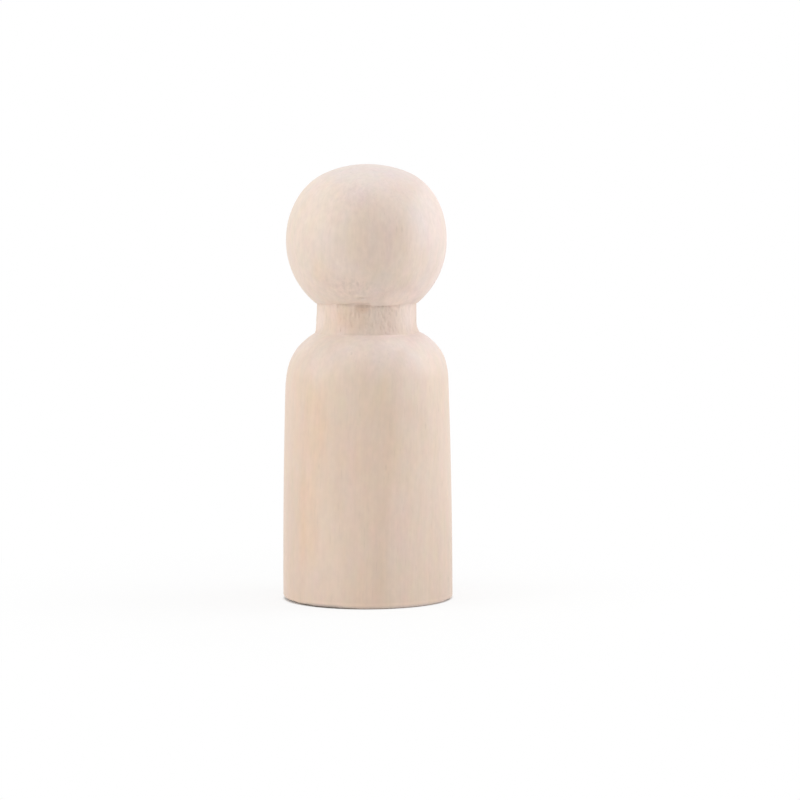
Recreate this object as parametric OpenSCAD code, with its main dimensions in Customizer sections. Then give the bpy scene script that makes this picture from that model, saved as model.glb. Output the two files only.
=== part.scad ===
// Peg doll: a plain figure turned in one piece from a dowel, with a ball head, a short straight neck,
// rounded shoulders and a slightly barrelled body. Its flat base rests on z = 0, and z is the lathe axis.

/* [Overall] */
// Height from the flat base to the top of the crown (mm)
height = 35; // [32:0.5:45]

/* [Body] */
// Diameter just above the base, the widest place (mm)
base_d = 13.7; // [12:0.1:16]
// Radius of the eased edge round the base (mm)
base_edge_r = 0.25; // [0.1:0.05:1]
// How far the side leans in where the shoulder begins (degrees)
side_lean = 1.9; // [0.5:0.1:5]
// Radius of the rounded shoulder (mm)
shoulder_r = 4.1; // [2.7:0.1:5.5]

/* [Neck] */
// Diameter of the straight part of the neck (mm)
neck_d = 8; // [5.5:0.1:9.5]
// Length of the neck, from the shoulder to the underside of the head (mm)
neck_h = 2.4; // [1.2:0.1:5]
// Height of the cove at the foot of the neck (mm)
cove_h = 0.8; // [0.4:0.05:1.5]
// How far the cove spreads on to the shoulder (mm)
cove_spread = 0.2; // [0.05:0.05:0.35]

/* [Head] */
// Diameter of the head (mm)
head_d = 12.9; // [11:0.1:15]
// Width of the flat ledge that the grooving tool leaves under the head (mm)
ledge_w = 0.1; // [0.05:0.05:0.5]
// Height of the straight belt round the middle of the head (mm)
belt_h = 0.1; // [0.05:0.05:1]
// How much lower the crown is than the top of a full ball (mm)
crown_drop = 0.4; // [0.15:0.05:0.9]
// Radius of the flattened crown (mm)
crown_r = 8; // [6.8:0.1:12]
// Radius of the bend between the side of the head and the crown (mm)
brow_r = 4.9; // [3:0.1:5.5]

/* [Hidden] */

// Colour of the bare pale wood
wood_color = [0.87, 0.79, 0.72];

// Angle that one chord of an arc spans at most, and the fewest chords of an arc
arc_step = 4;
arc_min = 4;
$fn = 180;

base_r = base_d / 2;
neck_r = neck_d / 2;
head_r = head_d / 2;

// Heights of the head, which hang from its crown: ledge, middle of the ball, top of the belt, crown's centre
ledge_r = neck_r + ledge_w;
ball_rise = sqrt(pow(head_r, 2) - pow(ledge_r, 2));
belt_z = height - head_r + crown_drop;
ball_z = belt_z - belt_h;
ledge_z = ball_z - ball_rise;
crown_z = height - crown_r;
ledge_angle = -acos(ledge_r / head_r);

// Bend over the brow, which touches the upper half of the ball and the crown from inside
brow = inner_touch(belt_z, head_r, crown_z, crown_r, brow_r);
brow_from = atan2(brow.y - belt_z, brow.x);
brow_to = atan2(brow.y - crown_z, brow.x);

// Cove at the foot of the neck: upright at its top, sharp where it meets the shoulder
foot_r = neck_r + cove_spread;
foot_z = ledge_z - neck_h;
cove_z = foot_z + cove_h;
cove_r = (pow(cove_h, 2) + pow(cove_spread, 2)) / (2 * cove_spread);
cove_angle = 2 * atan(cove_spread / cove_h);

// Side of the body: one long arc, upright at the base, that runs smoothly into the shoulder's arc
side_h = side_height(foot_r, foot_z - base_edge_r);
side_r = side_h / sin(side_lean);
shoulder = [
    base_r - side_r + (side_r - shoulder_r) * cos(side_lean),
    base_edge_r + (side_r - shoulder_r) * sin(side_lean)
];
shoulder_to = atan2(foot_z - shoulder.y, foot_r - shoulder.x);

// Centre of an arc of radius r that touches two circles from inside, both centred on the axis
function inner_touch(z1, r1, z2, r2, r) =
    let (gap = z1 - z2)
    let (rise = (pow(gap, 2) + pow(r2 - r, 2) - pow(r1 - r, 2)) / (2 * gap))
    [sqrt(pow(r2 - r, 2) - pow(rise, 2)), z2 + rise];

// Height of the side at which the shoulder's arc passes through the point (x, z), with z from the side's foot
function side_height(x, z) =
    let (t = tan(side_lean / 2))
    let (a = x - base_r + shoulder_r * cos(side_lean))
    let (b = z + shoulder_r * sin(side_lean))
    let (half = b - a * t)
    (half - sqrt(pow(half, 2) - (1 + t * t) * (a * a + b * b - pow(shoulder_r, 2)))) / (1 + t * t);

// Points along an arc, from its first angle up to its last one, which the next arc begins with
function arc(centre, radius, from, to) =
    let (chords = max(arc_min, ceil(abs(to - from) / arc_step)))
    [
        for (i = [0 : chords - 1])
            let (angle = from + (to - from) * i / chords)
            centre + radius * [cos(angle), sin(angle)]
    ];

// Half outline of the doll, from the middle of the base round to the top of the crown
function outline() = concat(
    [[0, 0]],
    arc([base_r - base_edge_r, base_edge_r], base_edge_r, -90, 0),
    arc([base_r - side_r, base_edge_r], side_r, 0, side_lean),
    arc(shoulder, shoulder_r, side_lean, shoulder_to),
    arc([neck_r + cove_r, cove_z], cove_r, 180 + cove_angle, 180),
    [[neck_r, cove_z], [neck_r, ledge_z]],
    arc([0, ball_z], head_r, ledge_angle, 0),
    [[head_r, ball_z]],
    arc([0, belt_z], head_r, 0, brow_from),
    arc(brow, brow_r, brow_from, brow_to),
    arc([0, crown_z], crown_r, brow_to, 90),
    [[0, height]]
);

// The whole doll, spun from its half outline
module turned_figure() {
    color(wood_color)
        rotate_extrude()
            polygon(outline());
}

turned_figure();
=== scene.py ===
# %% [markdown]
# A bare wooden peg doll, 35 mm tall. It is one piece of pale hardwood, turned on a lathe: a ball for a
# head, a short neck, round shoulders and a body that swells a little towards the base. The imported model
# gives its true size and place. This lesson turns a finer copy of it, roughens it as a real turning is,
# and gives it its bare wood.

# %% Load the frame
import math

import bpy
from mathutils import Matrix, Vector


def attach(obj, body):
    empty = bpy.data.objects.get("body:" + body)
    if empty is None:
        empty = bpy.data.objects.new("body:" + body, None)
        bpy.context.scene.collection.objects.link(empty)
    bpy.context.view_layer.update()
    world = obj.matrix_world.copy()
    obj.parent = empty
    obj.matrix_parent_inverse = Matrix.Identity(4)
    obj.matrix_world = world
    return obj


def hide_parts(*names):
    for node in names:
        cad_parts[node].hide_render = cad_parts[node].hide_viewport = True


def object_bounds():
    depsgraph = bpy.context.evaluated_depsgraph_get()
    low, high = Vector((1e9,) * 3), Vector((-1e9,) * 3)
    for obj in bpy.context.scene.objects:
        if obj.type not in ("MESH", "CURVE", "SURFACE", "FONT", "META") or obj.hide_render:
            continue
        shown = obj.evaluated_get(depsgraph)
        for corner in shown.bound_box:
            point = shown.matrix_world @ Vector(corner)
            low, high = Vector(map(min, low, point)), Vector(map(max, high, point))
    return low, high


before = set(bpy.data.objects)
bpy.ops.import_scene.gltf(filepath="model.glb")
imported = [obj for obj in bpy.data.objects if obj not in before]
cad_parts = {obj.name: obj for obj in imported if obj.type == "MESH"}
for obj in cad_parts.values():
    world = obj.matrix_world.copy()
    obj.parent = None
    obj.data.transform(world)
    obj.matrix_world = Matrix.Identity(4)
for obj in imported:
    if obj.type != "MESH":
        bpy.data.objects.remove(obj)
cad_low, cad_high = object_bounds()
bpy.ops.object.select_all(action="DESELECT")

MM = 0.001
print("frame box in mm:", [round(side / MM, 2) for side in cad_high - cad_low])

# %% [markdown]
# The picture was taken from a little above the doll's head, looking slightly down, with a long lens.
# Such a lens keeps the sides of the body almost parallel. The doll stands left of the middle, so the
# camera is slid to the right instead of being turned, which keeps the two sides alike. It is also rolled
# by a fifth of a degree, as it was then.

# %% Camera
CAMERA_DISTANCE = 250 * MM
CAMERA_HEIGHT = 36 * MM
CAMERA_TILT = math.radians(4.57)
CAMERA_ROLL = math.radians(-0.22)
LENS = 140
SENSOR = 36
IMAGE_SIDE = 800
AXIS_COLUMN = 367.1

sight_line = CAMERA_DISTANCE / math.cos(CAMERA_TILT)
pixel = sight_line * SENSOR / LENS / IMAGE_SIDE
slide = (IMAGE_SIDE / 2 - AXIS_COLUMN) * pixel

camera_data = bpy.data.cameras.new("camera")
camera_data.lens = LENS
camera_data.sensor_width = SENSOR
camera_data.clip_start = CAMERA_DISTANCE / 10
camera = bpy.data.objects.new("camera", camera_data)
bpy.context.scene.collection.objects.link(camera)
camera.matrix_world = (
    Matrix.Translation((slide, -CAMERA_DISTANCE, CAMERA_HEIGHT))
    @ Matrix.Rotation(math.pi / 2 - CAMERA_TILT, 4, "X")
    @ Matrix.Rotation(CAMERA_ROLL, 4, "Z")
)
bpy.context.scene.camera = camera
bpy.context.scene.view_settings.view_transform = "Standard"
print(f"camera {slide / MM:.2f} mm to the right, one pixel is {pixel / MM:.4f} mm at the doll")

# %% [markdown]
# A turner works to a template: a half outline, cut from a thin sheet and held against the spinning wood.
# Ours is a chain of arcs that run smoothly into each other, with sharp corners only above and below the
# neck. The overall height and the base come from the frame, and the other sizes are measured on the
# doll.

# %% Sizes of the template
HEIGHT = cad_high.z - cad_low.z
BASE_R = min(cad_high.x, -cad_low.x)
BASE_EDGE_R = 0.25 * MM
SIDE_LEAN = math.radians(1.9)
SHOULDER_R = 4.1 * MM
NECK_R = 4 * MM
NECK_LENGTH = 2.4 * MM
COVE_HEIGHT = 0.8 * MM
COVE_SPREAD = 0.2 * MM
HEAD_R = 6.45 * MM
LEDGE = 0.1 * MM
BELT = 0.1 * MM
CROWN_DROP = 0.4 * MM
CROWN_R = 8 * MM
BROW_R = 4.9 * MM
print(f"template {BASE_R / MM:.3f} mm wide and {HEIGHT / MM:.3f} mm high")

# %% [markdown]
# The arcs hang together. The head is measured down from the crown: the brow is an arc that touches both
# the ball and the flatter crown from inside, so its centre follows from the three radii. The neck hangs
# under the head, with a small cove at its foot. The long arc of the side must run into the shoulder's
# arc just where that one meets the cove.

# %% Arcs of the head
belt_z = HEIGHT - HEAD_R + CROWN_DROP
ball_z = belt_z - BELT
ledge_r = NECK_R + LEDGE
ledge_z = ball_z - math.sqrt(HEAD_R**2 - ledge_r**2)
crown_z = HEIGHT - CROWN_R

gap = belt_z - crown_z
rise = (gap**2 + (CROWN_R - BROW_R) ** 2 - (HEAD_R - BROW_R) ** 2) / (2 * gap)
brow = (math.sqrt((CROWN_R - BROW_R) ** 2 - rise**2), crown_z + rise)
brow_from = math.atan2(brow[1] - belt_z, brow[0])
brow_to = math.atan2(brow[1] - crown_z, brow[0])
print(f"middle of the head at {ball_z / MM:.2f} mm, its lower edge at {ledge_z / MM:.2f} mm")

# %% Arcs of the neck and the body
foot_r = NECK_R + COVE_SPREAD
foot_z = ledge_z - NECK_LENGTH
cove_z = foot_z + COVE_HEIGHT
cove_r = (COVE_HEIGHT**2 + COVE_SPREAD**2) / (2 * COVE_SPREAD)
cove_turn = 2 * math.atan(COVE_SPREAD / COVE_HEIGHT)

half_lean = math.tan(SIDE_LEAN / 2)
across = foot_r - BASE_R + SHOULDER_R * math.cos(SIDE_LEAN)
up = foot_z - BASE_EDGE_R + SHOULDER_R * math.sin(SIDE_LEAN)
middle = up - across * half_lean
square = 1 + half_lean**2
side_height = (middle - math.sqrt(middle**2 - square * (across**2 + up**2 - SHOULDER_R**2))) / square
side_r = side_height / math.sin(SIDE_LEAN)
shoulder = (
    BASE_R - side_r + (side_r - SHOULDER_R) * math.cos(SIDE_LEAN),
    BASE_EDGE_R + (side_r - SHOULDER_R) * math.sin(SIDE_LEAN),
)
shoulder_to = math.atan2(foot_z - shoulder[1], foot_r - shoulder[0])
print(f"side {side_height / MM:.2f} mm high, shoulder to neck at {foot_z / MM:.2f} mm")

# %% [markdown]
# The template is drawn with one vertex. A plane is added and merged to a single point, which extrude
# pulls along the straight stretches and spin swings along the arcs. Typing a list of points would give
# the same line, but then the arcs could not be read back from the script. Each stretch says how long one
# step may be, so that the neck, which gets the finest marks, has the finest mesh.

# %% Pens for the template
def start_at(x, z):
    """Adds a plane at the place and merges it to one vertex, in edit mode."""
    bpy.ops.mesh.primitive_plane_add(size=MM, location=(0, 0, 0))
    bpy.ops.object.mode_set(mode="EDIT")
    bpy.ops.mesh.select_mode(type="VERT")
    bpy.ops.mesh.merge(type="CENTER")
    bpy.ops.transform.translate(value=(x, 0, z))
    return bpy.context.object


def line_by(x, z, step):
    """Extrudes the last vertex along a straight line, in steps."""
    count = max(1, round(math.hypot(x, z) / step))
    move = {"value": (x / count, 0, z / count)}
    for _ in range(count):
        bpy.ops.mesh.extrude_vertices_move(TRANSFORM_OT_translate=move)


def arc_about(centre, radius, turn, step):
    """Swings the last vertex round a centre, counter-clockwise where turn is positive, in steps."""
    count = max(2, math.ceil(abs(turn) * radius / step))
    bpy.ops.mesh.spin(steps=count, angle=turn, center=(centre[0], 0, centre[1]), axis=(0, 1, 0))


def points_drawn():
    """How many points the template has so far."""
    doll.update_from_editmode()
    return len(doll.data.vertices)


# %% [markdown]
# Under the doll, the tool that parts it from the dowel leaves fine rings. They are drawn into the
# template as a row of shallow scallops that reach up into the wood, so the doll still stands on a flat
# face. The edge round the base is eased with a small arc.

# %% Draw the base
RING_PITCH = 0.55 * MM
RING_DEPTH = 0.03 * MM
EDGE_STEP = 0.06 * MM

base_flat = BASE_R - BASE_EDGE_R
ring_count = round(base_flat / RING_PITCH)
ring_width = base_flat / ring_count
ring_r = (ring_width**2 / 4 + RING_DEPTH**2) / (2 * RING_DEPTH)
ring_turn = 2 * math.asin(ring_width / 2 / ring_r)

doll = start_at(0, 0)
doll.name = "doll"
for number in range(ring_count):
    ring_centre = ((number + 0.5) * ring_width, RING_DEPTH - ring_r)
    arc_about(ring_centre, ring_r, -ring_turn, RING_PITCH / 4)
arc_about((base_flat, BASE_EDGE_R), BASE_EDGE_R, math.pi / 2, EDGE_STEP)
print(f"{ring_count} parting rings under the base, {points_drawn()} points")

# %% [markdown]
# The side of the body is one long flat arc, and the shoulder a tight one. Then the grooving tool's shape
# follows: the cove, the straight neck, and the narrow ledge that it cuts square into the head.

# %% Draw the body and the neck
SIDE_STEP = 0.45 * MM
SHOULDER_STEP = 0.15 * MM
COVE_STEP = 0.07 * MM
NECK_STEP = 0.06 * MM

arc_about((BASE_R - side_r, BASE_EDGE_R), side_r, SIDE_LEAN, SIDE_STEP)
arc_about(shoulder, SHOULDER_R, shoulder_to - SIDE_LEAN, SHOULDER_STEP)
arc_about((NECK_R + cove_r, cove_z), cove_r, -cove_turn, COVE_STEP)
line_by(0, ledge_z - cove_z, NECK_STEP)
line_by(LEDGE, 0, LEDGE)
print(f"body and neck drawn, {points_drawn()} points")

# %% [markdown]
# The head is nearly a ball. A hair of straight belt joins its two halves, and the top is flatter than a
# ball, because the last cut with the dowel still in the lathe stops short of it and sandpaper does the
# rest.

# %% Draw the head
LOWER_HEAD_STEP = 0.12 * MM
UPPER_HEAD_STEP = 0.18 * MM

arc_about((0, ball_z), HEAD_R, math.acos(ledge_r / HEAD_R), LOWER_HEAD_STEP)
line_by(0, BELT, BELT)
arc_about((0, belt_z), HEAD_R, brow_from, UPPER_HEAD_STEP)
arc_about(brow, BROW_R, brow_to - brow_from, UPPER_HEAD_STEP)
arc_about((0, crown_z), CROWN_R, math.pi / 2 - brow_to, UPPER_HEAD_STEP)
print(f"head drawn, {points_drawn()} points")
last = doll.data.vertices[-1].co
print(f"the template ends at {last.x / MM:.4f}, {last.z / MM:.4f} mm")

# %% [markdown]
# Now the lathe runs: the whole template is spun once round the upright axis. The first and last rows of
# vertices lie on each other, and so do all the points on the axis, so doubles are merged and the faces
# turned outwards. A closed skin has no edge with a face on only one side.

# %% Spin the doll
TURN_STEPS = 288
MERGE_WITHIN = 0.002 * MM

bpy.ops.mesh.select_all(action="SELECT")
bpy.ops.mesh.spin(steps=TURN_STEPS, angle=math.tau, center=(0, 0, 0), axis=(0, 0, 1))
bpy.ops.mesh.select_all(action="SELECT")
bpy.ops.mesh.remove_doubles(threshold=MERGE_WITHIN)
bpy.ops.mesh.normals_make_consistent(inside=False)
bpy.ops.mesh.select_all(action="DESELECT")
bpy.ops.mesh.select_non_manifold()
bpy.ops.object.mode_set(mode="OBJECT")
open_edges = sum(edge.select for edge in doll.data.edges)
print(f"doll: {len(doll.data.vertices)} vertices, {len(doll.data.polygons)} faces")
print(f"{open_edges} open edges")

# %% [markdown]
# No sandpaper reaches into the neck. The tool tore the fibres there instead of cutting them, so the
# groove is pitted with short upright scars, but it is smoother at both ends of the front, where the tool
# cut along the grain. A vertex group can hold this: every vertex of the neck goes in, and those of the
# smooth ends with a smaller weight.

# %% Mark the torn wood
SMOOTH_ENDS = [(-76, -34), (40, 78)]
SMOOTH_WEIGHT = 0.3
CLEAR_OF_FOOT = 0.1 * MM
CLEAR_OF_HEAD = 0.02 * MM


def pick(keep):
    """Selects the vertices of the doll that a test keeps, and stays in edit mode."""
    bpy.ops.object.mode_set(mode="EDIT")
    bpy.ops.mesh.select_mode(type="VERT")
    bpy.ops.mesh.select_all(action="DESELECT")
    bpy.ops.object.mode_set(mode="OBJECT")
    kept = [vertex for vertex in doll.data.vertices if keep(vertex.co)]
    for vertex in kept:
        vertex.select = True
    bpy.ops.object.mode_set(mode="EDIT")
    return len(kept)


def weigh(keep, weight):
    """Gives the vertices that a test keeps their weight in the group."""
    count = pick(keep)
    bpy.context.scene.tool_settings.vertex_group_weight = weight
    bpy.ops.object.vertex_group_assign()
    bpy.ops.object.mode_set(mode="OBJECT")
    return count


def in_neck(co):
    """Is this in the groove, clear of its two corners?"""
    return foot_z + CLEAR_OF_FOOT < co.z < ledge_z - CLEAR_OF_HEAD


def bearing(co):
    """Degrees round the doll from its front, to the right, from -120 up to 240."""
    return (math.degrees(math.atan2(co.x, -co.y)) + 120) % 360 - 120


bpy.ops.object.vertex_group_add()
neck_count = weigh(in_neck, 1)
for turn_from, turn_to in SMOOTH_ENDS:
    weigh(lambda co: in_neck(co) and turn_from < bearing(co) < turn_to, SMOOTH_WEIGHT)
print(f"{neck_count} vertices in the neck")

# %% [markdown]
# A Displace modifier presses the scars in. Its pattern is a cloud texture, stretched along the grain by
# a scaled empty. The middle level of 1 means that it only ever presses inwards, so the neck never grows
# past its turned size.

# %% Tear the neck
TEAR_DEPTH = 0.06 * MM
TEAR_WIDTH = 0.2 * MM
TEAR_LENGTH = 0.45 * MM

tear = bpy.data.textures.new("tear", "CLOUDS")
tear.noise_scale = 1
tear.use_color_ramp = True
for element, position, level in zip(tear.color_ramp.elements, (0.25, 0.5), (0, 1)):
    element.position = position
    element.color = (level, level, level, 1)

bpy.ops.object.empty_add(location=(0, 0, 0))
stretch = bpy.context.object
stretch.scale = (TEAR_WIDTH, TEAR_WIDTH, TEAR_LENGTH)
bpy.ops.object.select_all(action="DESELECT")
doll.select_set(True)
bpy.context.view_layer.objects.active = doll

bpy.ops.object.modifier_add(type="DISPLACE")
press = doll.modifiers["Displace"]
press.texture = tear
press.texture_coords = "OBJECT"
press.texture_coords_object = stretch
press.vertex_group = doll.vertex_groups[0].name
press.mid_level = 1
press.strength = TEAR_DEPTH
bpy.ops.object.modifier_apply(modifier="Displace")
bpy.data.objects.remove(stretch)
print(f"scars up to {TEAR_DEPTH / MM:.2f} mm deep")

# %% [markdown]
# At its two smooth ends the groove runs softly into the head, and the line between them fades out. Rings
# of vertices at the top of the neck are scaled outwards from the axis there, the uppermost the most,
# which fills the sharp corner. A bevel would round the corner all the way, and not only at the ends.

# %% Ease the corner
# How much wider each ring gets, from the head downwards
EASED_RINGS = [1.02, 1.014, 1.009, 1.005, 1.002]
# The wall of the neck lies inside this radius, and the rim of the head outside it
RIM_R = NECK_R + LEDGE / 4


def swell(keep, factor):
    """Scales the vertices that a test keeps outwards from the axis."""
    pick(keep)
    bpy.ops.transform.resize(value=(factor, factor, 1), center_override=(0, 0, 0))
    bpy.ops.object.mode_set(mode="OBJECT")


def on_neck_ring(co, index):
    """Is this on the ring of the neck with this number, counted down from the head?"""
    return round((ledge_z - co.z) / NECK_STEP) == index and co.xy.length < RIM_R


for turn_from, turn_to in SMOOTH_ENDS:
    for index, factor in enumerate(EASED_RINGS):
        swell(lambda co: on_neck_ring(co, index) and turn_from < bearing(co) < turn_to, factor)
print(f"corner eased over {len(EASED_RINGS) * NECK_STEP / MM:.2f} mm at {len(SMOOTH_ENDS)} ends")

# %% [markdown]
# Where the groove meets the head, splinters have come off the rim. The longest is at the front, left of
# the middle, and right of it a burr hangs down. With proportional editing, a few vertices are moved and
# their neighbours follow less and less, which is how a chip looks. Sculpting would do it too, but it
# leaves no sizes to read.

# %% Chip the rim
# Each chip: where it starts and ends, in degrees from the front, and its rise and reach in mm
RIM_CHIPS = [
    (-40, 2, 0.06, 0.4),
    (-17, 2, 0.08, 0.3),
    (5, 36, -0.08, 0.3),
    (101, 117, 0.06, 0.3),
    (194, 203, 0.07, 0.25),
    (-112, -94, 0.05, 0.3),
]
RIM_HEIGHT = 0.06 * MM


def nudge(keep, move, reach):
    """Moves the vertices that a test keeps, and those within reach of them less and less."""
    pick(keep)
    bpy.ops.transform.translate(
        value=move,
        use_proportional_edit=True,
        proportional_edit_falloff="SMOOTH",
        proportional_size=reach,
    )
    bpy.ops.object.mode_set(mode="OBJECT")


def on_rim(co):
    """Is this on the lower edge of the head?"""
    return abs(co.z - ledge_z) < RIM_HEIGHT and co.xy.length > RIM_R


for turn_from, turn_to, lift, reach in RIM_CHIPS:
    nudge(lambda co: on_rim(co) and turn_from < bearing(co) < turn_to, (0, 0, lift * MM), reach * MM)
print(f"{len(RIM_CHIPS)} chips on the rim")

# %% [markdown]
# Under the longest splinter a bit of the neck has come away and left a hollow, and just above it the
# head has a short crack. The same tool presses both in, from the few vertices in a small box.

# %% Press in the hollow and the crack
# Each place: its centre, how far it goes to each side and up or down, its move and its reach, in mm
PRESSED_PLACES = [
    ((-0.25, -3.97, 23.68), 0.35, 0.1, (0, 0.14, 0), 0.5),
    ((-0.25, -4.68, 24.44), 0.3, 0.05, (0, 0.07, 0.02), 0.16),
]
BOX_DEPTH = 0.5


def in_box(co, centre, wide, tall):
    """Is this in the box round a centre, with half sizes in mm?"""
    off = (co - Vector(centre) * MM) / MM
    return abs(off.x) < wide and abs(off.y) < BOX_DEPTH and abs(off.z) < tall


for centre, wide, tall, move, reach in PRESSED_PLACES:
    nudge(lambda co: in_box(co, centre, wide, tall), Vector(move) * MM, reach * MM)
print(f"{len(PRESSED_PLACES)} places pressed in")

# %% [markdown]
# Sanding is never quite even. The brow and the shoulder are fuller on the right, and on the left the
# shoulder is lower and the foot of the neck thicker. A lattice could bend them, but it takes more
# setting up. The same tool does it with a longer reach, which keeps the surface smooth.

# %% Move the uneven places
BROW = Vector((4.6, 0, 33.2)) * MM
BROW_CORE = 1 * MM
BROW_MOVE = Vector((0.08, 0, 0.06)) * MM
BROW_REACH = 4 * MM
# Each place: its bearing in degrees, its lowest and highest point, its move and its reach in mm
UNEVEN_PLACES = [
    (-90, 18.6, 21.0, (0.08, 0, -0.04), 1.6),
    (90, 19.7, 21.4, (0.06, 0, 0.04), 1.2),
    (-90, 22.1, 22.5, (-0.06, 0, 0), 0.8),
]
HALF_WIDTH = 15


def on_side(co, turn, bottom, top):
    """Is this within a few degrees of a bearing, and between two heights in mm?"""
    return abs(bearing(co) - turn) < HALF_WIDTH and bottom < co.z / MM < top


nudge(lambda co: (co - BROW).length < BROW_CORE, BROW_MOVE, BROW_REACH)
for turn, bottom, top, move, reach in UNEVEN_PLACES:
    nudge(lambda co: on_side(co, turn, bottom, top), Vector(move) * MM, reach * MM)
print(f"the brow and {len(UNEVEN_PLACES)} more uneven places moved")

# %% [markdown]
# The edge of the base is worn at the front on the left, and has a few small dents. The worn stretches
# overlap, so the edge rises in small steps towards the left and shows no corner.

# %% Wear the edge of the base
# Each stretch: where it starts and ends, in degrees from the front, and its depth and reach in mm
WORN_EDGE = [
    (-100, -8, 0.03, 0.6),
    (-96, -22, 0.03, 0.6),
    (-92, -44, 0.04, 0.6),
    (-88, -60, 0.04, 0.6),
    (70, 74, 0.05, 0.4),
    (168, 172, 0.07, 0.6),
    (216, 220, 0.05, 0.4),
]
EDGE_MARGIN = 0.03 * MM


def on_base_edge(co):
    """Is this on the rounded edge of the base?"""
    return co.z < 2 * BASE_EDGE_R and co.xy.length > base_flat - EDGE_MARGIN


for turn_from, turn_to, depth, reach in WORN_EDGE:
    nudge(
        lambda co: on_base_edge(co) and turn_from < bearing(co) < turn_to,
        (0, 0, depth * MM),
        reach * MM,
    )
print(f"{len(WORN_EDGE)} worn stretches")

# %% [markdown]
# A turning is smooth but for the corners of its groove. So the faces are shaded smooth, and only edges
# that bend by more than 30 degrees stay sharp.

# %% Shade it
SHARP_BEND = math.radians(30)

bpy.ops.object.shade_smooth_by_angle(angle=SHARP_BEND)
sharp = sum(edge.use_edge_sharp for edge in doll.data.edges)
print(f"{sharp} sharp edges")

# %% [markdown]
# The finish is bare wood, sanded and left without oil or varnish. Its pattern has to be solid and run
# right through the doll, so that the grain is long on the sides, shows its ends on the crown and joins
# up all round. So every pattern reads Object coordinates, in millimetres, and not an unwrapped skin. The
# helpers keep the node tree short to write: each makes one node and returns the socket that the next one
# needs.

# %% Tools for the wood
wood = bpy.data.materials.new("bare_wood")
wood.use_nodes = True
tree = wood.node_tree


def plug(socket, value):
    """Links another socket in, or sets a plain value."""
    if isinstance(value, bpy.types.NodeSocket):
        tree.links.new(value, socket)
    else:
        socket.default_value = value


def node(kind, **sockets):
    """Adds a node to the tree in hand, and fills the sockets that are named."""
    made = tree.nodes.new("ShaderNode" + kind)
    for name, value in sockets.items():
        plug(made.inputs[name], value)
    return made


def maths(operation, first, second=0.0, third=0.0):
    """One sum with plain numbers."""
    made = node("Math")
    made.operation = operation
    for socket, value in zip(made.inputs, (first, second, third)):
        plug(socket, value)
    return made.outputs[0]


def vectors(operation, first, second=(0, 0, 0), third=(0, 0, 0)):
    """One sum with vectors. A length comes out as a plain number."""
    made = node("VectorMath")
    made.operation = operation
    for socket, value in zip(made.inputs, (first, second, third)):
        plug(socket, value)
    return made.outputs["Value" if operation == "LENGTH" else "Vector"]


def split(vector):
    """The three parts of a vector: to the right, to the back and up."""
    return node("SeparateXYZ", Vector=vector).outputs


print("tools for sums are ready")

# %% [markdown]
# More helpers make the things that wood is full of: soft changes from one value or colour to another,
# clouds that can be stretched into fibres, scattered points that can be stretched into pores, and spots
# in the shape of an egg.

# %% Tools for patterns
def fade(value, start, end, low=0.0, high=1.0):
    """Goes smoothly from low, at start, to high, at end."""
    made = node("MapRange")
    made.interpolation_type = "SMOOTHSTEP"
    for socket, setting in zip(made.inputs, (value, start, end, low, high)):
        plug(socket, setting)
    return made.outputs["Result"]


def tone(amount, first, second, way="MIX"):
    """Goes from the first colour to the second, or lays the second over the first."""
    made = node("Mix")
    made.data_type = "RGBA"
    made.blend_type = way
    for index, value in ((0, amount), (6, first), (7, second)):
        plug(made.inputs[index], (*value, 1) if isinstance(value, tuple) else value)
    return made.outputs[2]


def cloud(where, density, detail=2):
    """A soft pattern with so many clouds to a millimetre: its value, and three more as a colour."""
    made = node("TexNoise", Vector=vectors("MULTIPLY", where, density), Scale=1, Detail=detail)
    return made.outputs["Fac"], made.outputs["Color"]


def swings(where, density):
    """A soft pattern of three values that swing evenly about zero."""
    return vectors("SUBTRACT", cloud(where, density)[1], (0.5, 0.5, 0.5))


def specks(where, density):
    """Scattered points, so many to a millimetre: how far the nearest one is, and its own colour."""
    made = node("TexVoronoi", Vector=vectors("MULTIPLY", where, density), Scale=1)
    return made.outputs["Distance"], made.outputs["Color"]


def spot(where, centre, reach, edge=0.3):
    """A soft, egg-shaped place in the wood, 1 in its middle and 0 outside."""
    away = vectors("DIVIDE", vectors("SUBTRACT", where, centre), reach)
    return fade(vectors("LENGTH", away), edge, 1.0, 1.0, 0.0)


print("tools for patterns are ready")

# %% [markdown]
# A dowel is split from a log far wider than itself, so its growth rings are almost flat sheets that
# stand upright and bend round a pith well outside the doll. On the front they show as broad bands: each
# grows slowly darker and warmer, and then ends at a fairly clear line. The grain leans a little and
# sways, as no tree grows quite straight.

# %% Growth rings
GRAIN_LEAN = math.radians(2.5)
# In mm: where the grain leans from, how far it sways, and where the pith and the rings are
LEAN_HEIGHT = 10
SWAY = (1.2, 1.2, 0)
PITH = (-55, 18, 0)
FIRST_RING = 55.6
RING_WIDTH = 6.8
# Where late wood starts, where it is darkest and where it starts to end, as shares of a ring
LATE_STARTS = 0.3
LATE_FULL = 0.9
LATE_ENDS = 0.88

place = vectors("MULTIPLY", node("TexCoord").outputs["Object"], (1 / MM, 1 / MM, 1 / MM))
shift = (LEAN_HEIGHT * math.sin(GRAIN_LEAN), 0, 0)
leaning = node("Mapping", Vector=place, Location=shift, Rotation=(0, -GRAIN_LEAN, 0)).outputs[0]
grain = vectors("MULTIPLY_ADD", swings(leaning, (0.16, 0.16, 0.07)), SWAY, leaning)

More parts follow.
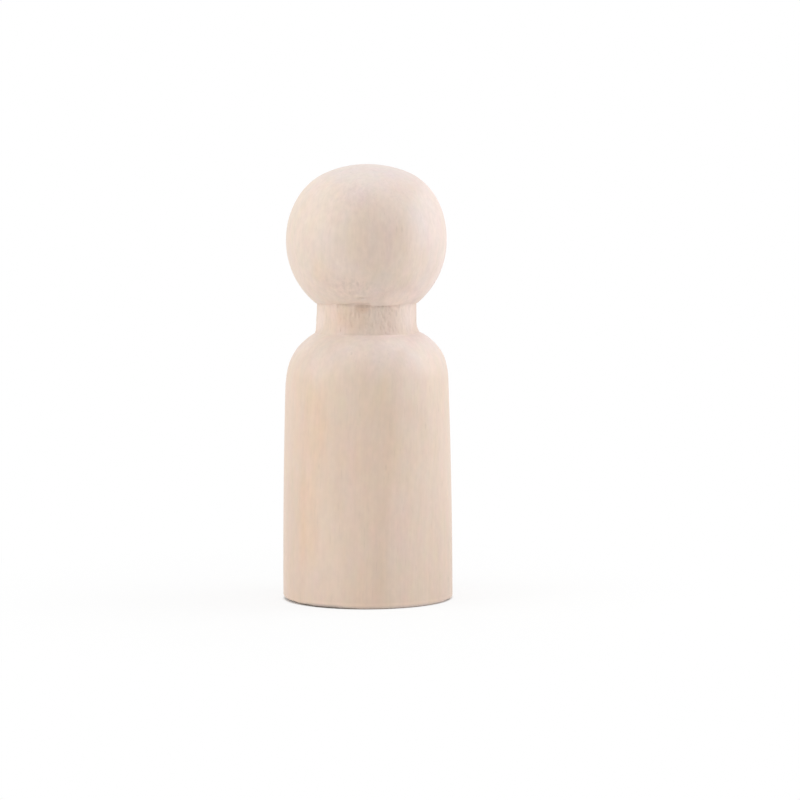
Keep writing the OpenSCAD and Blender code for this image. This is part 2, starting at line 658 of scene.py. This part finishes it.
from_pith = vectors("LENGTH", vectors("MULTIPLY", vectors("SUBTRACT", grain, PITH), (1, 1, 0)))
ring = maths("FRACT", maths("DIVIDE", maths("SUBTRACT", from_pith, FIRST_RING), RING_WIDTH))
late = maths("MULTIPLY", fade(ring, LATE_STARTS, LATE_FULL), fade(ring, LATE_ENDS, 1.0, 1.0, 0.0))
print(f"rings {RING_WIDTH} mm wide, {len(tree.nodes)} nodes")

# %% [markdown]
# To say where a colour goes, the wood needs a few measures of its own: how high a place is, how far from
# the axis, whether it faces up, and whether it lies in the groove of the neck. The groove ends a little
# lower where the burr hangs down.

# %% Where a place is
# The groove's outer radius and its soft edges, and how far the burr hangs down, in mm
GROOVE_R = 4.22
GROOVE_SOFT = 0.12
FOOT_SOFT = 0.05
RIM_FROM = 0.02
RIM_TO = 0.1
BURR_DROP = 0.1

height = split(place)[2]
around = vectors("LENGTH", vectors("MULTIPLY", place, (1, 1, 0)))
facing_up = split(node("NewGeometry").outputs["Normal"])[2]
to_right = split(grain)[0]

foot_mm = foot_z / MM
ledge_mm = ledge_z / MM
neck = fade(around, GROOVE_R, GROOVE_R + GROOVE_SOFT, 1.0, 0.0)
neck = maths("MULTIPLY", neck, fade(height, foot_mm, foot_mm + FOOT_SOFT))
burr = spot(place, (1.6, -3.8, ledge_mm), (2.0, 1.5, 1.5))
to_rim = maths("MULTIPLY_ADD", burr, BURR_DROP, height)
neck = maths("MULTIPLY", neck, fade(to_rim, ledge_mm + RIM_FROM, ledge_mm + RIM_TO, 1.0, 0.0))
print(f"the neck goes from {foot_mm:.2f} to {ledge_mm:.2f} mm")

# %% [markdown]
# The colour comes next. The head end of this dowel is paler than the foot end, and the late wood of each
# ring is warmer than the early wood. The head is painted from tan on its left to a cool pink on its
# right, as the cool light from the right falls on it, and the body grows a little darker to the right.
# What faces up, the crown and the shoulders, is painted paler, as the light from above falls on it, with
# some sanding dust in the end grain.

# %% Colours of the rings
BODY_EARLY = (0.755, 0.597, 0.487)
BODY_LATE = (0.735, 0.57, 0.45)
HEAD_EARLY = (0.785, 0.647, 0.566)
HEAD_LATE = (0.752, 0.612, 0.526)
HEAD_LEFT = (1.0, 1.0, 0.965)
HEAD_RIGHT_COOL_LIGHT = (1.0, 1.003, 1.03)
BODY_LEFT = (1.0, 1.0, 1.0)
BODY_RIGHT = (0.975, 0.987, 0.998)
TOP_LIGHT_AND_DUST = (1.03, 1.05, 1.08)
# The wood turns pale between two heights in mm, at a ragged line, and less so in the neck
PALE_FROM = 19.0
PALE_TO = 22.8
PALE_RAGGED = 3.0
NECK_PALE = 0.75
RING_SOFT = 0.1

zones = cloud(grain, (0.3, 0.3, 0.08))[0]
pale = fade(maths("MULTIPLY_ADD", zones, PALE_RAGGED, height), PALE_FROM, PALE_TO)
pale = maths("MULTIPLY", pale, fade(neck, 0.0, 1.0, 1.0, NECK_PALE))
# The head has no late wood inside the first ring
inner = fade(from_pith, FIRST_RING - RING_SOFT, FIRST_RING + RING_SOFT, 1.0, 0.0)
late = maths("MULTIPLY", late, fade(maths("MULTIPLY", inner, pale), 0.0, 1.0, 1.0, 0.0))

colour = tone(pale, tone(late, BODY_EARLY, BODY_LATE), tone(late, HEAD_EARLY, HEAD_LATE))
body_side = tone(fade(to_right, 1.5, 5.0), BODY_LEFT, BODY_RIGHT)
# Painted cool light from the right: the head turns cooler towards its right
painted_head_light = tone(fade(to_right, -5.5, 5.0), HEAD_LEFT, HEAD_RIGHT_COOL_LIGHT)
colour = tone(1.0, colour, tone(pale, body_side, painted_head_light), "MULTIPLY")
# Painted light from above: what faces up is made paler, with some sanding dust in the end grain
colour = tone(fade(facing_up, 0.3, 0.85), colour, TOP_LIGHT_AND_DUST, "MULTIPLY")
print(f"ring colours, {len(tree.nodes)} nodes")

# %% [markdown]
# Seen close, the side of a piece of wood is a mass of fibres. Fine light and dark lines run up it, with
# long soft streaks between them, short dark pores, and a few brown flecks where a bud or a bruise grew
# in. Between them the wood is mottled, a little pinker here and a little more tan there. All of it is
# kept faint: on this pale wood most marks are only a few per cent darker. On the crown and the base the
# same patterns are cut across and show as dots.

# %% Fibres, pores and flecks
MOTTLE = (0.105, 0.08, 0.11)
# How much each pattern lightens or darkens the wood, and where there are two, on the body and on the head
FIBRE_SHADES = (0.06, 0.085)
CURL_SHADES = (0.1, 0.15)
STREAK_SHADE = 0.06
PORE_SHADE = -0.04
FLECK_SHADE = -0.08

fibre = cloud(grain, (6, 6, 0.3), 3)[0]
streak = cloud(grain, (1.5, 1.5, 0.07))[0]
curl = cloud(grain, (2.5, 2.5, 1.5))[0]
pore_far, pore_own = specks(grain, (4.5, 4.5, 0.5))
pore = maths("MULTIPLY", fade(pore_far, 0.1, 0.28, 1.0, 0.0), fade(pore_own, 0.45, 0.6))
fleck_far, fleck_own = specks(grain, (1.1, 1.1, 0.35))
fleck = maths("MULTIPLY", fade(fleck_far, 0.05, 0.14, 1.0, 0.0), fade(fleck_own, 0.62, 0.7))

shade = maths("MULTIPLY_ADD", maths("SUBTRACT", fibre, 0.5), fade(pale, 0.0, 1.0, *FIBRE_SHADES), 1.0)
shade = maths("MULTIPLY_ADD", maths("SUBTRACT", streak, 0.5), STREAK_SHADE, shade)
shade = maths("MULTIPLY_ADD", maths("SUBTRACT", curl, 0.5), fade(pale, 0.0, 1.0, *CURL_SHADES), shade)
shade = maths("MULTIPLY_ADD", pore, PORE_SHADE, shade)
shade = maths("MULTIPLY_ADD", fleck, FLECK_SHADE, shade)

mottle = vectors("MULTIPLY_ADD", swings(grain, (1.0, 1.0, 0.5)), MOTTLE, (1, 1, 1))
colour = vectors("MULTIPLY", colour, mottle)
print(f"fibres, pores and flecks, {len(tree.nodes)} nodes")

# %% [markdown]
# No two dolls are alike, because each dowel has its own stains. On this one a warm streak runs up the
# left of the body, the middle blushes, the right has a mauve tinge low down, and the shoulder is dusky
# on the left. Light and shade are painted in as well: the right shoulder is painted paler and cooler, as
# the light from the upper right falls on it, and the lower right is painted darker, as that light falls
# off towards the base. Each place is an egg-shaped part of the solid wood, with an edge that a cloud
# makes ragged.

# %% Stains of the body
WARM = (1.005, 0.955, 0.895)
BLUSH = (1.012, 0.985, 0.985)
MAUVE = (1.0, 0.985, 1.01)
TAN = (0.985, 0.98, 0.955)
DARK = (0.955, 0.945, 0.94)
DIM = (0.97, 0.967, 0.97)
LIGHT = (1.02, 1.02, 1.015)
COOL_SHOULDER_LIGHT = (1.01, 1.03, 1.06)
SHOULDER_LIGHT = (1.08, 1.095, 1.11)

# Each stain: its colour, and its centre and its reach in mm
BODY_STAINS_AND_LIGHT = [
    (WARM, (-4.0, -5.3, 14.2), (1.4, 1.9, 5.2)),
    (WARM, (-4.6, -4.9, 7.2), (1.5, 1.8, 6.0)),
    (BLUSH, (-1.05, -6.6, 11.3), (0.8, 1.5, 2.4)),
    (MAUVE, (2.8, -6.2, 6.5), (1.0, 1.5, 2.6)),
    (TAN, (-2.6, -6.1, 12.0), (1.8, 2.0, 8.0)),
    (TAN, (2.1, -6.3, 12.5), (1.0, 1.5, 3.5)),
    (DARK, (-3.6, -4.6, 20.2), (2.6, 2.4, 2.4)),
    # Painted shade: the light from the right falls off towards the base on the lower right
    (DARK, (6.5, -3.0, 2.0), (3.2, 6.0, 9.0)),
    (DIM, (1.2, -6.5, 4.0), (1.1, 1.5, 9.0)),
    (DIM, (-6.2, -3.4, 6.5), (1.5, 3.0, 6.0)),
    (LIGHT, (0.0, 0.0, 17.3), (14.0, 14.0, 2.6)),
    # Painted light from the upper right, paler and cooler, on the right shoulder
    (COOL_SHOULDER_LIGHT, (3.4, -5.2, 18.6), (4.0, 3.2, 3.2)),
    (SHOULDER_LIGHT, (2.3, -4.0, 21.1), (1.9, 2.2, 1.6)),
]
RAGGED = (0.7, 0.7, 0.7)

ragged = vectors("MULTIPLY_ADD", swings(place, (1.1, 1.1, 0.6)), RAGGED, place)


def tinted(bare, patches, area):
    """The bare colour with each tint laid over it, a stain or painted light or shade, in the area where
    that is 1.
    """
    for tint, centre, reach in patches:
        strength = maths("MULTIPLY", spot(ragged, centre, reach), area)
        bare = tone(strength, bare, tint, "MULTIPLY")
    return bare


sanded = maths("SUBTRACT", 1.0, neck)
colour = tinted(colour, BODY_STAINS_AND_LIGHT, sanded)
print(f"{len(BODY_STAINS_AND_LIGHT)} stains on the body, {len(tree.nodes)} nodes")

# %% [markdown]
# The head has stains of its own: a pink lower left, two drops of honey, a cool upper right and a cooler,
# bluer crown. Light and shade are painted on it too: painted shade down its middle, with a tan tone, and
# painted light from the right on its lower right and, paler, on the rim there.

# %% Stains of the head
HONEY = (1.01, 0.985, 0.945)
PINK = (0.985, 0.95, 0.955)
LOWER_RIGHT_LIGHT = (1.04, 1.03, 0.99)
RIM_LIGHT = (1.12, 1.12, 1.12)
MIDDLE_SHADE = (0.985, 0.965, 0.93)
DUSKY = (0.96, 0.95, 0.975)
COOL = (0.96, 0.98, 0.99)
CROWN = (0.96, 0.985, 1.025)

HEAD_STAINS_AND_LIGHT = [
    (HONEY, (-3.6, -4.9, 26.6), (1.5, 1.8, 1.3)),
    (HONEY, (2.9, -5.7, 29.2), (1.3, 1.6, 1.8)),
    (PINK, (-2.0, -5.0, 25.3), (3.2, 2.4, 1.6)),
    # Painted light from the right: the lower right of the head and, paler, its rim
    (LOWER_RIGHT_LIGHT, (3.4, -4.9, 26.8), (2.6, 2.4, 2.6)),
    (RIM_LIGHT, (3.0, -3.9, 24.2), (2.4, 2.0, 1.2)),
    # Painted shade down the middle of the head, with a tan tone
    (MIDDLE_SHADE, (0.3, -6.4, 28.8), (2.8, 3.0, 4.5)),
    (DUSKY, (-0.5, -5.0, 32.3), (1.7, 2.2, 2.0)),
    (COOL, (4.6, -4.0, 31.6), (2.2, 3.2, 3.0)),
    (CROWN, (0.0, -2.5, 34.5), (6.5, 5.0, 1.8)),
]
colour = tinted(colour, HEAD_STAINS_AND_LIGHT, sanded)
print(f"{len(HEAD_STAINS_AND_LIGHT)} stains on the head, {len(tree.nodes)} nodes")

# %% [markdown]
# Sandpaper does not cut the end of the grain cleanly. It leaves a nap of raised fibres there, and on
# this head the nap shows left of the middle of the crown and, thicker, above the neck. It is a fine
# cloud, kept to those two places.

# %% Nap on the head
# Each place: its centre and its reach in mm, and how thick the nap is
NAP_PLACES = [
    ((-0.9, -4.6, 32.6), (2.6, 2.4, 2.2), 0.2),
    ((-1.2, -5.0, 25.2), (3.2, 2.2, 1.5), 0.36),
]

napped = [maths("MULTIPLY", spot(ragged, centre, reach), thick) for centre, reach, thick in NAP_PLACES]
fuzz = maths("SUBTRACT", cloud(place, (3.2, 3.2, 2.6), 3)[0], 0.5)
nap = maths("MULTIPLY", maths("ADD", *napped), fuzz)
shade = maths("ADD", shade, nap)
print(f"nap in {len(NAP_PLACES)} places, {len(tree.nodes)} nodes")

# %% [markdown]
# The torn neck is darker than the sanded wood, because its rough fibres trap light and dirt. At the
# front it is honey and brown left of the middle, under the long splinter, grey right of it, and clean at
# both ends. Its two inner corners get painted shade, thin dark lines that are strongest at the front.

# %% The torn neck
PEACH = (1.03, 1.005, 0.98)
BROWN = (0.975, 0.93, 0.87)
RUST = (0.97, 0.93, 0.88)
GREY = (0.975, 0.98, 0.965)
CLEAN = (1.09, 1.12, 1.16)

NECK_STAINS = [
    (PEACH, (-2.7, -2.9, 22.8), (1.4, 1.6, 1.6)),
    (BROWN, (-1.2, -3.8, 22.8), (1.8, 1.6, 1.7)),
    (RUST, (-0.25, -3.9, 23.75), (0.9, 1.2, 0.7)),
    (GREY, (1.2, -3.8, 22.9), (1.5, 1.5, 1.7)),
    (CLEAN, (3.3, -2.3, 23.0), (1.5, 2.0, 1.8)),
    (CLEAN, (-3.9, -1.6, 22.6), (1.0, 1.6, 1.4)),
]
SCAR_SHADE = -0.05
PAINTED_CORNER_SHADE = -0.05
SIDE_CORNER = 0.1

colour = tinted(colour, NECK_STAINS, neck)

front = spot(place, (0.0, -3.9, 22.8), (3.0, 3.0, 3.0), 0.5)
scar = maths("MULTIPLY", fade(cloud(place, (4.5, 4.5, 1.2))[0], 0.5, 0.68), neck)
# Painted shade: thin dark lines in the two inner corners of the groove, strongest at the front
upper_corner = fade(to_rim, ledge_mm - 0.22, ledge_mm - 0.02)
lower_corner = fade(height, foot_mm + 0.08, foot_mm + 0.25, 1.0, 0.0)
corner = maths("MULTIPLY", maths("ADD", upper_corner, lower_corner), neck)
corner = maths("MULTIPLY", corner, fade(front, 0.0, 1.0, SIDE_CORNER, 1.0))
shade = maths("MULTIPLY_ADD", scar, SCAR_SHADE, shade)
shade = maths("MULTIPLY_ADD", corner, PAINTED_CORNER_SHADE, shade)
print(f"neck with {len(NECK_STAINS)} stains, {len(tree.nodes)} nodes")

# %% [markdown]
# Then come the small marks: dark scars in the neck, painted shade in the hollow, under the splinter left
# of it and in the crack, with the pale lip between them, and three flecks on the head. Each is a spot of
# its own with a centre, because a pattern would put it somewhere else.

# %% Small marks
# Each mark: its centre and its reach in mm, and how much darker it is
MARKS_AND_SHADE = [
    # Painted shadow under the long splinter, at the top of the hollow
    ((-0.2, -3.9, 23.78), (0.85, 0.6, 0.24), 0.12),
    # Painted shade in the corner under the splinter, left of the hollow
    ((-1.6, -3.65, 23.86), (0.9, 0.6, 0.12), 0.05),
    ((0.26, -3.9, 23.4), (0.17, 0.5, 0.55), 0.10),
    # Painted shade in the crack
    ((-0.25, -4.68, 24.44), (0.4, 0.5, 0.09), 0.10),
    ((-0.7, -4.3, 24.16), (1.2, 0.5, 0.13), -0.05),
    ((1.3, -3.8, 23.7), (0.13, 0.5, 0.3), 0.08),
    ((1.8, -3.6, 23.6), (0.13, 0.5, 0.3), 0.07),
    ((2.4, -3.2, 23.2), (0.13, 0.5, 0.4), 0.08),
    ((1.45, -3.7, 22.9), (0.13, 0.5, 0.3), 0.06),
    ((-0.65, -5.52, 25.58), (0.15, 0.5, 0.35), 0.10),
    ((2.43, -5.9, 29.89), (0.1, 0.5, 0.45), 0.06),
    ((2.12, -4.97, 32.46), (0.3, 0.5, 0.12), 0.05),
]

for centre, reach, depth in MARKS_AND_SHADE:
    shade = maths("MULTIPLY_ADD", spot(place, centre, reach), -depth, shade)
print(f"{len(MARKS_AND_SHADE)} marks, {len(tree.nodes)} nodes")

# %% [markdown]
# The edge that the doll stands on is painted grey and dark, mostly as contact shadow, with some grime,
# darkest at the front on the left, and has a thin painted highlight above it where the worn edge catches
# the light. Both rise a little at the front on the left, as the worn edge does.

# %% Painted shadow and highlight on the base edge
SHADOW_AND_GRIME_GREY = (0.99, 1.06, 1.15)
CONTACT_SHADE = -0.05
CONTACT_SHADE_LEFT = -0.18
EDGE_HIGHLIGHT = 0.05
FOOT_SHADE = -0.02
LEFT_RISE = -0.07

front_left = spot(place, (-3.4, -5.9, 0.2), (2.8, 2.8, 3.0))
above_edge = maths("MULTIPLY_ADD", front_left, LEFT_RISE, height)
edge_shadow_and_grime = maths("MULTIPLY", fade(above_edge, 0.12, 0.26, 1.0, 0.0), fade(around, 6.2, 6.6))
edge_highlight = maths("MULTIPLY", fade(above_edge, 0.2, 0.32), fade(above_edge, 0.36, 0.55, 1.0, 0.0))
# Painted contact shadow, with some grime: the base edge is greyed and darkened, most at the front on the
# left
colour = tone(edge_shadow_and_grime, colour, SHADOW_AND_GRIME_GREY, "MULTIPLY")
edge_darkening = maths("MULTIPLY_ADD", front_left, CONTACT_SHADE_LEFT, CONTACT_SHADE)
shade = maths("MULTIPLY_ADD", edge_shadow_and_grime, edge_darkening, shade)
# Painted highlight: a thin lighter line above the dark edge
shade = maths("MULTIPLY_ADD", edge_highlight, EDGE_HIGHLIGHT, shade)
shade = maths("ADD", shade, fade(height, 0.5, 7.0, FOOT_SHADE, 0.0))
print(f"base edge, {len(tree.nodes)} nodes")

# %% [markdown]
# Now the finish and the feel. Sanded wood is matt, but at a low angle it has a pale gloss, so the
# roughness is near the middle of its range, and higher in the neck and round the base, where nothing was
# sanded. The bump follows the same fibres and pores, with the faint rings that sandpaper leaves on a
# spinning doll.

# %% Put the wood together
SANDED_ROUGHNESS = 0.42
FIBRE_ROUGHNESS = 0.08
UNSANDED_ROUGHNESS = 0.16
RELIEF_DEPTH = 0.006 * MM
# How high each pattern stands, against the fibres
SANDING_RELIEF = 0.25
PORE_RELIEF = -0.5
NAP_RELIEF = 6.0
SCAR_RELIEF = -1.0

shader = tree.nodes["Principled BSDF"]
plug(shader.inputs["Base Color"], vectors("MULTIPLY", colour, shade))
rough = maths("MULTIPLY_ADD", fibre, FIBRE_ROUGHNESS, SANDED_ROUGHNESS)
rough = maths("MULTIPLY_ADD", edge_shadow_and_grime, UNSANDED_ROUGHNESS, rough)
rough = maths("MULTIPLY_ADD", neck, UNSANDED_ROUGHNESS, rough)
plug(shader.inputs["Roughness"], rough)

sanding = cloud(place, (0.25, 0.25, 12), 1)[0]
relief = maths("MULTIPLY_ADD", sanding, SANDING_RELIEF, fibre)
relief = maths("MULTIPLY_ADD", pore, PORE_RELIEF, relief)
relief = maths("MULTIPLY_ADD", nap, NAP_RELIEF, relief)
relief = maths("MULTIPLY_ADD", scar, SCAR_RELIEF, relief)
bump = node("Bump", Strength=1, Distance=RELIEF_DEPTH, Height=relief)
plug(shader.inputs["Normal"], bump.outputs["Normal"])

doll.data.materials.clear()
doll.data.materials.append(wood)
print(f"wood of {len(tree.nodes)} nodes")

# %% [markdown]
# The floor is a plain white sheet. Where the camera looks at it, most of it is a flat white, and all of
# it is so away from the doll, so the sheet shows no edge. Close to the doll the rest keeps the soft
# shadow that it stands in, and right at the base it keeps all of it, which gives the thin dark line that
# any standing thing has.

# %% Floor
FLOOR_SIDE = 4
PAPER = (0.9, 0.9, 0.9, 1)
CONTACT = 0.15 * MM
SHADOW_END = 40 * MM
WHITE_SHARE = 0.8


def blend(amount, first, second):
    """Goes from one surface, or sky, to another."""
    made = node("MixShader", Fac=amount)
    plug(made.inputs[1], first.outputs[0])
    plug(made.inputs[2], second.outputs[0])
    return made.outputs[0]


def in_sight():
    """1 for what the camera sees, by itself or in a gloss or a glass."""
    rays = node("LightPath").outputs
    mirrored = maths("MAXIMUM", rays["Is Glossy Ray"], rays["Is Transmission Ray"])
    return maths("MAXIMUM", rays["Is Camera Ray"], mirrored)


bpy.ops.mesh.primitive_plane_add(size=FLOOR_SIDE, location=(0, 0, 0))
floor = bpy.context.object
floor.name = "floor"
paper = bpy.data.materials.new("white_paper")
paper.use_nodes = True
tree = paper.node_tree
tree.nodes.clear()

from_doll = vectors("LENGTH", node("TexCoord").outputs["Object"])
white = fade(from_doll, BASE_R - CONTACT, BASE_R + CONTACT, 0.0, WHITE_SHARE)
white = maths("ADD", white, fade(from_doll, BASE_R + CONTACT, SHADOW_END, 0.0, 1 - WHITE_SHARE))
white = maths("MULTIPLY", white, in_sight())
paper_surface = blend(white, node("BsdfDiffuse", Color=PAPER), node("Emission"))
plug(node("OutputMaterial").inputs["Surface"], paper_surface)
floor.data.materials.append(paper)
print(f"floor {FLOOR_SIDE} m wide")

# %% [markdown]
# The doll was lit in a white tent: light from all round, more of it from both sides and from above than
# from where the camera stands. Three large soft lamps give the sides and the top. Each lamp's level says
# how much of full white it adds to a surface that faces it.

# %% Lamps
# Each lamp: its name, its azimuth and elevation in degrees, its distance and its side in m, and its level
LAMPS = [
    ("left_lamp", -75, 25, 0.15, 0.12, 0.32),
    ("right_lamp", 95, 25, 0.09, 0.07, 0.41),
    ("top_lamp", 0, 88, 0.15, 0.12, 0.18),
]


def soft_lamp(name, azimuth, elevation, distance, side, level):
    """A square soft lamp that looks at the middle of the doll."""
    data = bpy.data.lights.new(name, "AREA")
    data.size = side
    data.energy = level * (math.pi * distance) ** 2
    lamp = bpy.data.objects.new(name, data)
    turn = math.radians(azimuth)
    tip = math.radians(elevation)
    away = Vector((math.sin(turn) * math.cos(tip), -math.cos(turn) * math.cos(tip), math.sin(tip)))
    lamp.location = away * distance + Vector((0, 0, HEIGHT / 2))
    lamp.rotation_euler = away.to_track_quat("Z", "Y").to_euler()
    bpy.context.scene.collection.objects.link(lamp)
    print(f"{name}: {data.energy:.3f} W")


for lamp_sizes in LAMPS:
    soft_lamp(*lamp_sizes)

# %% [markdown]
# The world gives the even part of the light. Where the camera sees it, also in a reflection, it is plain
# white.

# %% World
TENT_LEVEL = 0.675
WHITE = (1, 1, 1, 1)

tent = bpy.data.worlds.new("tent")
bpy.context.scene.world = tent
tent.use_nodes = True
tree = tent.node_tree
tree.nodes.clear()
even = node("Background", Color=WHITE, Strength=TENT_LEVEL)
seen = node("Background", Color=WHITE)
plug(node("OutputWorld").inputs["Surface"], blend(in_sight(), even, seen))
print(f"tent light {TENT_LEVEL}")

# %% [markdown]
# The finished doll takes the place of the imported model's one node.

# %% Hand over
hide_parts("turned_figure")
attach(doll, "root")
